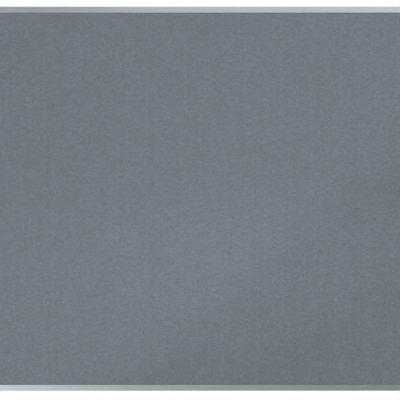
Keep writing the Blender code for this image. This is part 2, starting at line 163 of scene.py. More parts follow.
class PanelSettings(PropertyGroup):
    """The felt and the boards behind it."""

    felt_colour: colour_property("Felt", "Dyed colour of the needle felt", "#747B84")
    fibre_colour: colour_property("Loose fibres", "Paler fibres that stand out of the felt", "#8D949B")
    softboard_colour: colour_property("Softboard", "Pulp colour of the pinning core", "#8E7C63")
    hardboard_colour: colour_property("Hardboard", "Pressed wood fibre of the back", "#6C4E37")
    felt_cell: length_property("Felt cell", "Mesh spacing of the felt's face", 0.0034)
    relief_height: length_property("Relief", "Height of the felt's soft lumps", 0.00022, 0.001)
    relief_size: length_property("Lump size", "Width of the felt's soft lumps", 0.009)
    relief_stretch: FloatProperty(
        name="Lump stretch", description="Length of a lump over its width", default=1.8, min=1, max=5
    )
    relief_lean: FloatProperty(
        name="Lean", description="Slope of the fibre streaks", default=math.radians(3), subtype="ANGLE"
    )
    fibre_density: FloatProperty(
        name="Fibre density", description="Loose fibres on a square metre", default=6200, min=0
    )
    fibre_length: length_property("Fibre length", "Mean length of a loose fibre", 0.0065)
    fibre_radius: length_property("Fibre radius", "Half the width of a loose fibre", 0.00006, 0.001)


class FrameSettings(PropertyGroup):
    """The rails, the corners and their fixings."""

    aluminium_colour: colour_property("Aluminium", "Clear anodised aluminium", "#C9CDCF")
    corner_colour: colour_property("Corners", "Moulded grey ABS", "#A9ADB0")
    zinc_colour: colour_property("Zinc", "Zinc plating of the screws", "#C8CACC")
    edge_radius: length_property("Corner edge", "Softening of the moulded edges", 0.00018, 0.001)
    arc_steps: IntProperty(
        name="Arc steps", description="Segments of a quarter round on the rail", default=8, min=2, max=24
    )
    turned_steps: IntProperty(
        name="Turned steps", description="Segments round a cover", default=96, min=16, max=256
    )
    thread_pitch: length_property("Thread pitch", "Rise of the screw thread in a turn", 0.0010, 0.01)
    thread_height: length_property("Thread height", "How far the thread stands out", 0.00022, 0.001)
    recess_span: length_property("Recess span", "Length of the cross in the screw head", 0.0030, 0.01)
    recess_width: length_property("Recess width", "Width of the cross in the screw head", 0.0008, 0.01)
    recess_depth: length_property("Recess depth", "Depth of the cross in the screw head", 0.0011, 0.01)


class StudioSettings(PropertyGroup):
    """Floor, lamps and camera."""

    floor_colour: colour_property("Floor", "Matt painted floor", "#F1F1EF")
    hanging_height: length_property("Hanging height", "From the floor to the board's middle", 1.5, 5)
    floor_radius: length_property("Floor radius", "Half the width of the round floor", 3.0, 10)
    lens: FloatProperty(
        name="Lens", description="Focal length", default=100, min=10, max=400, subtype="DISTANCE_CAMERA"
    )
    frame_pixels: FloatProperty(
        name="Frame height", description="In the picture, in pixels", default=384.14, subtype="PIXEL"
    )
    middle_pixels: FloatProperty(
        name="Frame middle", description="From the picture's top", default=198.77, subtype="PIXEL"
    )
    room_level: FloatProperty(
        name="Room level",
        description="Light from the camera's side",
        default=0.12,
        min=0,
        max=1,
        subtype="FACTOR",
    )


def add_node(tree, kind, inputs=(), **settings):
    """Adds a node, sets its properties, fills or links its inputs, and returns its outputs.

    An input is given by its name or number. A list of sockets joins one input that takes several.
    """
    node = tree.nodes.new(kind)
    for name, value in settings.items():
        setattr(node, name, value)
    for key, value in dict(inputs).items():
        for source in value if isinstance(value, list) else [value]:
            if isinstance(source, NodeSocket):
                tree.links.new(source, node.inputs[key])
            else:
                node.inputs[key].default_value = source
    return node.outputs


def new_material(name):
    """An empty node material and its tree."""
    material = bpy.data.materials.new(name)
    material.use_nodes = True
    material.node_tree.nodes.clear()
    return material, material.node_tree


def finish_material(tree, height, strength, depth, sockets):
    """Joins a Principled surface, with bumps of the depth in mm, to the material's output."""
    bump = {"Height": height, "Strength": strength, "Distance": depth * MM}
    surface = {"Normal": add_node(tree, "ShaderNodeBump", bump)[0], **sockets}
    shader = add_node(tree, "ShaderNodeBsdfPrincipled", surface)[0]
    add_node(tree, "ShaderNodeOutputMaterial", {"Surface": shader})


def speckle(tree, size, detail=2.0, roughness=0.5, distortion=0.0, turn=(0, 0, 0)):
    """Noise whose lumps have the given size, in mm, along x, y and z before the turn."""
    place = add_node(tree, "ShaderNodeTexCoord")["Object"]
    scale = tuple(width * MM for width in size)
    mapping = {"Vector": place, "Rotation": turn, "Scale": scale}
    noise = {
        "Vector": add_node(tree, "ShaderNodeMapping", mapping, vector_type="TEXTURE")[0],
        "Scale": 1.0,
        "Detail": detail,
        "Roughness": roughness,
        "Distortion": distortion,
    }
    return add_node(tree, "ShaderNodeTexNoise", noise)["Fac"]


def mottled(tree, colour, *layers):
    """The colour made paler and darker by layers, each given as its pattern, low and high level."""
    mixed = (*colour, 1)
    for pattern, low, high in layers:
        level = {"Value": pattern, **NOISE_RANGE, "To Min": low, "To Max": high}
        mix = {
            "Factor": 1.0,
            "A": mixed,
            "B": add_node(tree, "ShaderNodeMapRange", level, clamp=False)[0],
        }
        mixed = add_node(tree, "ShaderNodeMix", mix, data_type="RGBA", blend_type="MULTIPLY")["Result"]
    return mixed


def heaped(tree, *layers):
    """Height of patterns laid over each other, each given with its share."""
    height = 0.0
    for pattern, share in layers:
        layer = {0: pattern, 1: share, 2: height}
        height = add_node(tree, "ShaderNodeMath", layer, operation="MULTIPLY_ADD")[0]
    return height


def needle_felt(colour, lean, stretch):
    """Needle felt: dyed polyester fibre punched into a dense mat, so it is matt and mottled.

    The fibres are 0.02 mm thick, too fine to show, so strands of 1.2 mm and the swirls that they
    lie in are drawn, with the faint upright lines in which the web was drawn through the needles.
    """
    material, tree = new_material("needle_felt")
    turn = (0, -lean, 0)
    swirls = speckle(tree, (4.8 * stretch, 4.8, 4.8), 2.0, 0.6, 0.8, turn)
    tufts = speckle(tree, (5.8, 3.4, 3.4), 2.0, 0.55, 0.5, turn)
    strands = speckle(tree, (6, 1.2, 1.2), 3.0, 0.65, 3.0, turn)
    lumps = speckle(tree, (24, 16, 16), 1.0, 0.5, 0.5, turn)
    clouds = speckle(tree, (90, 90, 60), 1.0)
    draws = speckle(tree, (9, 9, 1200), 2.0, 0.7)
    dyed = mottled(
        tree,
        colour,
        (swirls, 0.92, 1.08),
        (tufts, 0.953, 1.047),
        (strands, 0.91, 1.09),
        (lumps, 0.978, 1.022),
        (clouds, 0.988, 1.012),
        (draws, 0.979, 1.021),
    )
    sockets = {
        "Base Color": dyed,
        "Roughness": 0.95,
        "Specular IOR Level": 0.2,
        "Sheen Weight": 0.08,
        "Sheen Roughness": 0.5,
    }
    height = heaped(tree, (swirls, 1.0), (tufts, 0.5), (strands, 0.6))
    finish_material(tree, height, 0.35, 0.4, sockets)
    return material


def loose_fibre(colour):
    """Loose polyester fibre: single strands with a soft gloss along their length."""
    material, tree = new_material("loose_polyester_fibre")
    strand = speckle(tree, (4, 4, 4), 1.0)
    sockets = {
        "Base Color": mottled(tree, colour, (strand, 0.85, 1.15)),
        "Roughness": 0.6,
        "Specular IOR Level": 0.4,
        "Sheen Weight": 0.2,
    }
    finish_material(tree, strand, 0.1, 0.1, sockets)
    return material


def fibreboard(colour):
    """Softboard: wood pulp felted wet and dried, pale brown, matt and woolly."""
    material, tree = new_material("pulp_softboard")
    clumps = speckle(tree, (6, 3, 4), 4.0, 0.65, 1.0)
    hairs = speckle(tree, (2, 0.5, 0.7), 3.0, 0.6, 2.0)
    sockets = {
        "Base Color": mottled(tree, colour, (clumps, 0.82, 1.12), (hairs, 0.9, 1.1)),
        "Roughness": 0.95,
        "Specular IOR Level": 0.2,
    }
    finish_material(tree, hairs, 0.6, 0.4, sockets)
    return material


def screen_backed_hardboard(colour):
    """Hardboard: hot pressed wood fibre, dark brown, with the print of the wire screen behind.

    The screen's wires are 0.8 mm apart and are drawn 2.4 mm apart, so that they show. A band of
    the wave pattern is pi / 10 wide at a scale of 1. The screen runs from 0 to 1, so its levels
    reach beyond the two that are given, from 0.93 to 1.04.
    """
    material, tree = new_material("screen_backed_hardboard")
    flecks = speckle(tree, (7, 2, 2.2), 4.0, 0.6, 1.2)
    clouds = speckle(tree, (130, 130, 110), 2.0)
    wires = {
        "Vector": add_node(tree, "ShaderNodeTexCoord")["Object"],
        "Scale": math.pi / (10 * 2.4 * MM),
        "Distortion": 0.4,
        "Detail": 1.0,
    }
    upright, level = [
        add_node(tree, "ShaderNodeTexWave", wires, bands_direction=way)["Fac"] for way in ("X", "Z")
    ]
    screen = add_node(tree, "ShaderNodeMath", {0: upright, 1: level}, operation="MULTIPLY")[0]
    layers = ((flecks, 0.8, 1.16), (clouds, 0.94, 1.06), (screen, 0.963, 1.007))
    rough = {"Value": flecks, **NOISE_RANGE, "To Min": 0.55, "To Max": 0.7}
    sockets = {
        "Base Color": mottled(tree, colour, *layers),
        "Roughness": add_node(tree, "ShaderNodeMapRange", rough, clamp=False)[0],
        "IOR": 1.5,
    }
    finish_material(tree, heaped(tree, (screen, 1.0), (flecks, 0.5)), 0.5, 0.25, sockets)
    return material


def anodised_aluminium(colour, upright):
    """Anodised aluminium: extruded, etched matt and sealed clear, so it glows without a mirror.

    The die leaves lines along the rail 0.05 mm apart, drawn 0.4 mm apart so that they show.
    """
    material, tree = new_material("anodised_aluminium_" + ("upright" if upright else "level"))
    line, run = 0.4, 250
    lines = speckle(tree, (line, line, run) if upright else (run, line, line), 2.0, 0.5)
    grain = speckle(tree, (0.6, 0.6, 0.6), 2.0, 0.6)
    etched = heaped(tree, (lines, 1.0), (grain, 1.0))
    rough = {"Value": etched, "From Min": 0.7, "From Max": 1.3, "To Min": 0.312, "To Max": 0.328}
    sockets = {
        "Base Color": mottled(tree, colour, (lines, 0.99, 1.01)),
        "Metallic": 1.0,
        "Roughness": add_node(tree, "ShaderNodeMapRange", rough, clamp=False)[0],
    }
    finish_material(tree, etched, 0.06, 0.04, sockets)
    return material


def moulded_abs(colour, name):
    """ABS: injection moulded in a spark eroded tool, so its gloss is broken by a fine pebble.

    The pebble is 0.1 mm across and is drawn at 0.5 mm, so that it shows.
    """
    material, tree = new_material(name)
    pebble = speckle(tree, (0.5, 0.5, 0.5), 2.0, 0.55)
    flow = speckle(tree, (20, 20, 20), 1.0)
    rough = {"Value": pebble, **NOISE_RANGE, "To Min": 0.49, "To Max": 0.53}
    sockets = {
        "Base Color": mottled(tree, colour, (pebble, 0.985, 1.015), (flow, 0.99, 1.01)),
        "Roughness": add_node(tree, "ShaderNodeMapRange", rough, clamp=False)[0],
        "IOR": 1.53,
    }
    finish_material(tree, pebble, 0.18, 0.06, sockets)
    return material


def bright_zinc(colour):
    """Zinc plated steel: plated in a barrel with others, so it is bright and a little cloudy."""
    material, tree = new_material("bright_zinc_plated_steel")
    cloud = speckle(tree, (1.2, 1.2, 1.2), 3.0, 0.6, 0.5)
    rough = {"Value": cloud, **NOISE_RANGE, "To Min": 0.24, "To Max": 0.38}
    sockets = {
        "Base Color": mottled(tree, colour, (cloud, 0.92, 1.05)),
        "Metallic": 1.0,
        "Roughness": add_node(tree, "ShaderNodeMapRange", rough, clamp=False)[0],
    }
    finish_material(tree, cloud, 0.1, 0.03, sockets)
    return material


def seen_by(tree, *kinds):
    """1 for rays of the given kinds and 0 for every other."""
    rays = add_node(tree, "ShaderNodeLightPath")
    seen = 0.0
    for kind in kinds:
        either = {0: seen, 1: rays[f"Is {kind} Ray"]}
        seen = add_node(tree, "ShaderNodeMath", either, operation="MAXIMUM")[0]
    return seen


def painted_floor(colour, radius):
    """Matt painted floor, lifted towards the white of the background, which it meets at its rim."""
    material, tree = new_material("matt_floor_paint")
    place = add_node(tree, "ShaderNodeTexCoord")["Object"]
    flat = add_node(tree, "ShaderNodeVectorMath", {0: place, 1: (1, 1, 0)}, operation="MULTIPLY")[0]
    fade = {
        "Value": add_node(tree, "ShaderNodeVectorMath", {0: flat}, operation="LENGTH")["Value"],
        "From Min": FLOOR_FADE_SHARES[0] * radius,
        "From Max": FLOOR_FADE_SHARES[1] * radius,
        "To Min": FLOOR_WHITE_SHARE,
        "To Max": 1.0,
    }
    lift = {
        0: add_node(tree, "ShaderNodeMapRange", fade)[0],
        1: seen_by(tree, "Camera", "Glossy", "Transmission"),
    }
    mix = {
        0: add_node(tree, "ShaderNodeMath", lift, operation="MULTIPLY")[0],
        1: add_node(tree, "ShaderNodeBsdfDiffuse", {"Color": (*colour, 1), "Roughness": 0.4})[0],
        2: add_node(tree, "ShaderNodeEmission", {"Color": (1, 1, 1, 1), "Strength": 1.0})[0],
    }
    shader = add_node(tree, "ShaderNodeMixShader", mix)[0]
    add_node(tree, "ShaderNodeOutputMaterial", {"Surface": shader})
    return material


def studio_world(level):
    """White backdrop on the board's far side, and a dimmer room on the camera's side.

    The camera, and what glass or a gap lets through, sees white on every side.
    """
    world = bpy.data.worlds.new("studio")
    world.use_nodes = True
    tree = world.node_tree
    tree.nodes.clear()
    towards = add_node(tree, "ShaderNodeTexCoord")["Generated"]
    fade = {
        "Value": add_node(tree, "ShaderNodeSeparateXYZ", {0: towards})["Y"],
        "From Min": 0.0,
        "From Max": BACKDROP_FADE,
        "To Min": level,
        "To Max": 1.0,
    }
    brighter = {
        0: seen_by(tree, "Camera", "Transmission"),
        1: add_node(tree, "ShaderNodeMapRange", fade)[0],
    }
    light = {
        "Color": (1, 1, 1, 1),
        "Strength": add_node(tree, "ShaderNodeMath", brighter, operation="MAXIMUM")[0],
    }
    shader = add_node(tree, "ShaderNodeBackground", light)[0]
    add_node(tree, "ShaderNodeOutputWorld", {"Surface": shader})
    return world


def new_tree(name, **inputs):
    """A Geometry Nodes tree and its inputs: geometry, a material, and those named for each kind."""
    tree = bpy.data.node_groups.new(name, "GeometryNodeTree")
    tree.interface.new_socket(name="Geometry", in_out="OUTPUT", socket_type="NodeSocketGeometry")
    for kind, titles in {"Geometry": ["Geometry"], "Material": ["Material"], **inputs}.items():
        for title in titles:
            tree.interface.new_socket(name=title, in_out="INPUT", socket_type="NodeSocket" + kind)
    return tree, add_node(tree, "NodeGroupInput")


def end_tree(tree, geometry, given):
    """Makes instances real, gives them their material and hands them to the output."""
    real = add_node(tree, "GeometryNodeRealizeInstances", {"Geometry": geometry})[0]
    finish = {"Geometry": real, "Material": given["Material"]}
    finished = add_node(tree, "GeometryNodeSetMaterial", finish)[0]
    add_node(tree, "NodeGroupOutput", {"Geometry": finished})


def raised(tree, geometry, height):
    """The geometry moved up by a height."""
    lift = add_node(tree, "ShaderNodeCombineXYZ", {"Z": height})[0]
    place = {"Geometry": geometry, "Translation": lift}
    return add_node(tree, "GeometryNodeTransform", place)[0]


def coned(tree, sides, *stack):
    """Cones about z, each given as its upper radius, lower radius, start and height."""
    cones = []
    for upper, lower, start, height in stack:
        shape = {"Vertices": sides, "Radius Top": upper, "Radius Bottom": lower, "Depth": height}
        cones.append(raised(tree, add_node(tree, "GeometryNodeMeshCone", shape)[0], start))
    return cones


def spun(tree, rotation, seed):
    """The rotation after a random turn about its own z."""
    draw = {"Min": 0.0, "Max": math.tau, "Seed": seed}
    turn = {"Axis": (0, 0, 1), "Angle": add_node(tree, "FunctionNodeRandomValue", draw)["Value"]}
    both = {
        "Rotation": rotation,
        "Rotate By": add_node(tree, "FunctionNodeAxisAngleToRotation", turn)[0],
    }
    return add_node(tree, "FunctionNodeRotateRotation", both, rotation_space="LOCAL")[0]


def grown(name, base, tree, values):
    """Plain mesh of what the tree makes of the base, with each input set before it is worked out."""
    modifier = base.modifiers.new(tree.name, "NODES")
    modifier.node_group = tree
    for item in tree.interface.items_tree:
        if item.in_out == "INPUT" and item.name != "Geometry":
            modifier[item.identifier] = values[item.name]
    return flattened(name, base)


def flattened(name, obj):
    """Plain mesh of an object with its modifiers and place applied; the object is removed."""
    bpy.context.view_layer.update()
    graph = bpy.context.evaluated_depsgraph_get()
    mesh = bpy.data.meshes.new_from_object(obj.evaluated_get(graph), depsgraph=graph)
    mesh.transform(obj.matrix_world)
    obj.modifiers.clear()
    obj.data.name = name + "_source"
    mesh.name = name
    bpy.data.objects.remove(obj)
    if not mesh.polygons:
        raise RuntimeError(f"{name} came out empty")
    return mesh


def helper(name, data):
    """A new object in the scene."""
    obj = bpy.data.objects.new(name, data)
    bpy.context.scene.collection.objects.link(obj)
    return obj


def made(name, shape):
    """An object of the shape that was built, which is then freed."""
    mesh = bpy.data.meshes.new(name)
    shape.to_mesh(mesh)
    shape.free()
    return helper(name, mesh)


def smoothed(mesh, degrees=35):
    """Shades a mesh smooth, sharp where it turns by more than the angle, and level on its flats."""
    mesh.shade_smooth()
    mesh.set_sharp_from_angle(angle=math.radians(degrees))
    name = mesh.name
    obj = helper(name, mesh)
    level = obj.modifiers.new("level", "WEIGHTED_NORMAL")
    level.keep_sharp = True
    level.weight = 100
    return flattened(name, obj)


def add_piece(name, mesh, material, body=BOARD, nodes=()):
    """A finished piece: its mesh in place, riding on its body, standing for its solids."""
    mesh.materials.clear()
    mesh.materials.append(material)
    piece = helper(name, mesh)
    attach(piece, body)
    if nodes:
        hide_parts(*nodes)
    return piece


def carried_over(name, material):
    """Gives a solid that stays its finish."""
    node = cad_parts[name]
    node.data.materials.clear()
    node.data.materials.append(material)


def rounded(corners, steps):
    """Outline through (x, y, radius) corners, where an arc of that radius turns each corner."""
    outline = []
    for i, (x, y, radius) in enumerate(corners):
        corner = Vector((x, y))
        before = (Vector(corners[i - 1][:2]) - corner).normalized()
        after = (Vector(corners[(i + 1) % len(corners)][:2]) - corner).normalized()
        half = before.angle(after) / 2
        centre = corner + (before + after).normalized() * (radius / math.sin(half))
        start = corner + before * (radius / math.tan(half)) - centre
        end = corner + after * (radius / math.tan(half)) - centre
        sweep = math.atan2(start.cross(end), start.dot(end))
        for step in range(steps + 1):
            outline.append(centre + Matrix.Rotation(sweep * step / steps, 2) @ start)
    return outline


def turned(name, outline, steps):
    """Object turned about +Y from (radius, forward) points that start and end on the axis."""
    shape = bmesh.new()
    points = [shape.verts.new((radius, -forward, 0)) for radius, forward in outline]
    edges = [shape.edges.new(pair) for pair in zip(points, points[1:])]
    bmesh.ops.spin(
        shape, geom=points + edges, cent=(0, 0, 0), axis=(0, 1, 0), angle=math.tau, steps=steps
    )
    bmesh.ops.remove_doubles(shape, verts=shape.verts, dist=WELD)
    bmesh.ops.recalc_face_normals(shape, faces=shape.faces)
    return made(name, shape)


def felt_sheet(cell):
    """Closed felt sheet with a fine grid in front and its corners cut off as the solid's are.

    Its size and its flat area come with it.
    """
    low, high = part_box("felt_facing")
    points = [vertex.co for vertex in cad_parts["felt_facing"].data.vertices]
    cut = min(p.x for p in points if p.z < low.z + WELD) - low.x
    size = high - low
    middle = (low + high) / 2
    shape = bmesh.new()
    columns, rows = round(size.x / cell), round(size.z / cell)
    bmesh.ops.create_grid(shape, x_segments=columns, y_segments=rows, size=0.5)
    place = Matrix.Translation((middle.x, low.y, middle.z)) @ Matrix.Rotation(math.pi / 2, 4, "X")
    bmesh.ops.transform(shape, matrix=place @ Matrix.Diagonal((size.x, size.z, 1, 1)), verts=shape.verts)
    for side_x in (-1, 1):
        for side_z in (-1, 1):
            away = Vector((side_x, 0, side_z)).normalized()
            corner = middle + Vector((side_x * (size.x / 2 - cut), 0, side_z * size.z / 2))
            everything = shape.verts[:] + shape.edges[:] + shape.faces[:]
            bmesh.ops.bisect_plane(
                shape, geom=everything, plane_co=corner, plane_no=away, clear_outer=True
            )
    rim = [edge for edge in shape.edges if edge.is_boundary]
    walls = bmesh.ops.extrude_edge_only(shape, edges=rim)["geom"]
    new_points = [item for item in walls if isinstance(item, bmesh.types.BMVert)]
    bmesh.ops.translate(shape, verts=new_points, vec=(0, size.y, 0))
    bmesh.ops.holes_fill(shape, edges=[edge for edge in shape.edges if edge.is_boundary], sides=0)
    bmesh.ops.recalc_face_normals(shape, faces=shape.faces)
    flat_area = size.x * size.z - 2 * cut * cut
    return made("felt", shape), size, flat_area


def relief_tree():
    """Raises the felt in soft, leaning lumps, where it lies in front of the face depth."""
    tree, given = new_tree(
        "felt relief", Vector=["Lump Size", "Relief"], Float=["Lean", "Face Depth", "Seed"]
    )
    place = add_node(tree, "GeometryNodeInputPosition")[0]
    turn = {"Vector": place, "Angle": given["Lean"]}
    leant = add_node(tree, "ShaderNodeVectorRotate", turn, rotation_type="Y_AXIS")[0]
    share = {0: leant, 1: given["Lump Size"]}
    lumps = {
        "Vector": add_node(tree, "ShaderNodeVectorMath", share, operation="DIVIDE")[0],
        "W": given["Seed"],
        "Scale": 1.0,
        "Detail": 2.0,
        "Distortion": 0.6,
    }
    noise = add_node(tree, "ShaderNodeTexNoise", lumps, noise_dimensions="4D")["Fac"]
    level = add_node(tree, "ShaderNodeMath", {0: 0.5, 1: noise}, operation="SUBTRACT")[0]
    rise = {0: given["Relief"], "Scale": level}
    front = {
        0: add_node(tree, "ShaderNodeSeparateXYZ", {0: place})["Y"],
        1: given["Face Depth"],
    }
    lifted = {
        "Geometry": given["Geometry"],
        "Selection": add_node(tree, "ShaderNodeMath", front, operation="LESS_THAN")[0],
        "Offset": add_node(tree, "ShaderNodeVectorMath", rise, operation="SCALE")[0],
    }
    end_tree(tree, add_node(tree, "GeometryNodeSetPosition", lifted)[0], given)
    return tree


def fibre_tree():
    """Scatters bent fibres over a face, lying nearly flat in every direction."""
    tree, given = new_tree(
        "loose fibres",
        Vector=["Half Fibre"],
        Float=["Density", "Fibre Radius"],
        Int=["Seed", "Scale Seed"],
    )
    scatter = {"Mesh": given["Geometry"], "Density": given["Density"], "Seed": given["Seed"]}
    scattered = add_node(tree, "GeometryNodeDistributePointsOnFaces", scatter)
    profile = {"Resolution": 3, "Radius": given["Fibre Radius"]}
    ring = add_node(tree, "GeometryNodeCurvePrimitiveCircle", profile)[0]
    strands = []
    for bow in FIBRE_BOW_SHARES:
        bend = {"Resolution": 4}
        root = FIBRE_END_SHARE
        shares = {"Start": (-1, 0, root), "Middle": (0, bow, 1), "End": (1, 0, root)}
        for point, share in shares.items():
            reach = {0: given["Half Fibre"], 1: share}
            bend[point] = add_node(tree, "ShaderNodeVectorMath", reach, operation="MULTIPLY")[0]
        strand = {
            "Curve": add_node(tree, "GeometryNodeCurveQuadraticBezier", bend)[0],
            "Profile Curve": ring,
            "Fill Caps": True,
        }
        strands.append(add_node(tree, "GeometryNodeCurveToMesh", strand)[0])
    scale = {"Min": FIBRE_SCALES[0], "Max": FIBRE_SCALES[1], "Seed": given["Scale Seed"]}
    fibres = {
        "Points": scattered["Points"],
        "Instance": add_node(tree, "GeometryNodeGeometryToInstance", {0: strands})[0],
        "Pick Instance": True,
        "Rotation": spun(tree, scattered["Rotation"], given["Seed"]),
        "Scale": add_node(tree, "FunctionNodeRandomValue", scale)["Value"],
    }
    end_tree(tree, add_node(tree, "GeometryNodeInstanceOnPoints", fibres)[0], given)
    return tree


def rail_tree():
    """Extrudes a filled section and drills it for the locking screws near both ends."""
    tree, given = new_tree(
        "extruded rail",
        Vector=["First Screw", "Last Screw"],
        Float=["Start", "Length", "Head Radius", "Shank Radius", "Mouth", "Cone Start", "Cone"],
    )
    face = add_node(tree, "GeometryNodeFillCurve", {"Curve": given["Geometry"]}, mode="NGONS")[0]
    push = {"Mesh": face, "Offset": (0, 0, 1), "Offset Scale": given["Length"], "Individual": False}
    pushed = add_node(tree, "GeometryNodeExtrudeMesh", push)[0]
    underside = add_node(tree, "GeometryNodeFlipFaces", {"Mesh": face})[0]
    weld = {
        "Geometry": add_node(tree, "GeometryNodeJoinGeometry", {0: [pushed, underside]})[0],
        "Distance": WELD / 10,
    }
    welded = add_node(tree, "GeometryNodeMergeByDistance", weld)[0]
    spots = [
        add_node(tree, "GeometryNodePoints", {"Position": given[screw]})[0]
        for screw in ("First Screw", "Last Screw")
    ]
    stations = add_node(tree, "GeometryNodeJoinGeometry", {0: spots})[0]
    forward = add_node(tree, "FunctionNodeEulerToRotation", {0: (-math.pi / 2, 0, 0)})[0]
    head, shank = given["Head Radius"], given["Shank Radius"]
    cuts = coned(
        tree,
        DRILL_SIDES,
        (head, head, -DRILL_OVERRUN, given["Mouth"]),
        (shank, head, given["Cone Start"], given["Cone"]),
        (shank, shank, 0.0, 2 * DRILL_OVERRUN),
    )
    holes = []
    for cut in cuts:
        drill = {"Points": stations, "Instance": cut, "Rotation": forward}
        pair = add_node(tree, "GeometryNodeInstanceOnPoints", drill)[0]
        holes.append(add_node(tree, "GeometryNodeRealizeInstances", {0: pair})[0])
    drilled = add_node(
        tree,
        "GeometryNodeMeshBoolean",
        {"Mesh 1": raised(tree, welded, given["Start"]), "Mesh 2": holes},
        operation="DIFFERENCE",
        solver="EXACT",
    )
    end_tree(tree, drilled[0], given)
    return tree


def screw_tree():
    """Puts a countersunk, cross recessed, threaded screw at each point, pointing forward."""
    sizes = ["Head Radius", "Core Radius", "Rim", "Cone Start", "Cone", "Shank", "Point Start", "Point"]
    thread = ["Thread Start", "Thread Run", "Thread Turns", "Thread Height"]
    tree, given = new_tree(
        "countersunk screws", Vector=["Level Bar", "Upright Bar"], Float=sizes + thread, Int=["Seed"]
    )
    head, core, rim = given["Head Radius"], given["Core Radius"], given["Rim"]
    stack = coned(
        tree,
        SCREW_SIDES,
        (head, head, 0.0, rim),
        (core, head, given["Cone Start"], given["Cone"]),
        (core, core, rim, given["Shank"]),
        (2 * WELD, core, given["Point Start"], given["Point"]),
    )
    blank = add_node(
        tree, "GeometryNodeMeshBoolean", {"Mesh 2": stack}, operation="UNION", solver="EXACT"
    )[0]
    bars = [
        add_node(tree, "GeometryNodeMeshCube", {"Size": given[bar]})[0]
        for bar in ("Level Bar", "Upright Bar")
    ]
    recessed = add_node(
        tree,
        "GeometryNodeMeshBoolean",
        {"Mesh 1": blank, "Mesh 2": bars},
        operation="DIFFERENCE",
        solver="EXACT",
    )[0]
    helix = {
        "Resolution": 20,
        "Rotations": given["Thread Turns"],
        "Start Radius": core,
        "End Radius": core,
        "Height": given["Thread Run"],
    }
    ridge = {"Resolution": 4, "Radius": given["Thread Height"]}
    winding = {
        "Curve": add_node(tree, "GeometryNodeCurveSpiral", helix)[0],
        "Profile Curve": add_node(tree, "GeometryNodeCurvePrimitiveCircle", ridge)[0],
        "Fill Caps": True,
    }
    wound = add_node(tree, "GeometryNodeCurveToMesh", winding)[0]
    threaded = [recessed, raised(tree, wound, given["Thread Start"])]
    forward = add_node(tree, "FunctionNodeEulerToRotation", {0: (math.pi / 2, 0, 0)})[0]
    screws = {
        "Points": given["Geometry"],
        "Instance": add_node(tree, "GeometryNodeJoinGeometry", {0: threaded})[0],
        "Rotation": spun(tree, forward, given["Seed"]),
    }
    end_tree(tree, add_node(tree, "GeometryNodeInstanceOnPoints", screws)[0], given)
    return tree


class NOTICEBOARD_OT_lay_felt(Operator):
    """Lay the felt on the softboard, with its soft relief"""

    bl_idname = "notice_board.lay_felt"
    bl_label = "Lay Felt"

    def execute(self, context):
        settings = context.scene.board_panel
        base, size, flat_area = felt_sheet(settings.felt_cell)
        material = needle_felt(settings.felt_colour, settings.relief_lean, settings.relief_stretch)
        lump = settings.relief_size
        values = {
            "Lump Size": (lump * settings.relief_stretch, lump, lump),
            "Relief": (0.0, settings.relief_height, 0.0),
            "Lean": settings.relief_lean,
            "Face Depth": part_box("felt_facing")[0].y + 10 * WELD,
            "Seed": RELIEF_SEED,
            "Material": material,
        }
        mesh = smoothed(grown("felt", base, relief_tree(), values))
        felt = add_piece("felt", mesh, material, nodes=["felt_facing"])
        fibres = self.raise_fibres(settings)
        return {"FINISHED"}

    def raise_fibres(self, settings):
        """Loose fibres over the open felt, between the lips of the rails."""
        low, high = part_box("felt_facing")
        inset = RAIL_FRONT_LIP + settings.fibre_length
        left, right = low.x + inset, high.x - inset
        bottom, top = low.z + inset, high.z - inset
        patch = bpy.data.meshes.new("open_felt")
        corners = ((left, bottom), (right, bottom), (right, top), (left, top))
        patch.from_pydata([(x, low.y, z) for x, z in corners], [], [(0, 1, 2, 3)])
        material = loose_fibre(settings.fibre_colour)
        half = settings.fibre_length / 2
        values = {
            "Half Fibre": (half, half, FIBRE_RISE),
            "Density": settings.fibre_density,
            "Fibre Radius": settings.fibre_radius,
            "Seed": FIBRE_SEED,
            "Scale Seed": FIBRE_SEED + 1,
            "Material": material,
        }
        mesh = grown("felt_fibres", helper("open_felt", patch), fibre_tree(), values)
        return add_piece("felt_fibres", smoothed(mesh, degrees=80), material)


class NOTICEBOARD_OT_finish_boards(Operator):
    """Give the softboard core and the hardboard back their pulp and screen print"""

    bl_idname = "notice_board.finish_boards"
    bl_label = "Finish Boards"

    def execute(self, context):
        settings = context.scene.board_panel
        carried_over("softboard_core", fibreboard(settings.softboard_colour))
        carried_over("hardboard_back", screen_backed_hardboard(settings.hardboard_colour))
        return {"FINISHED"}


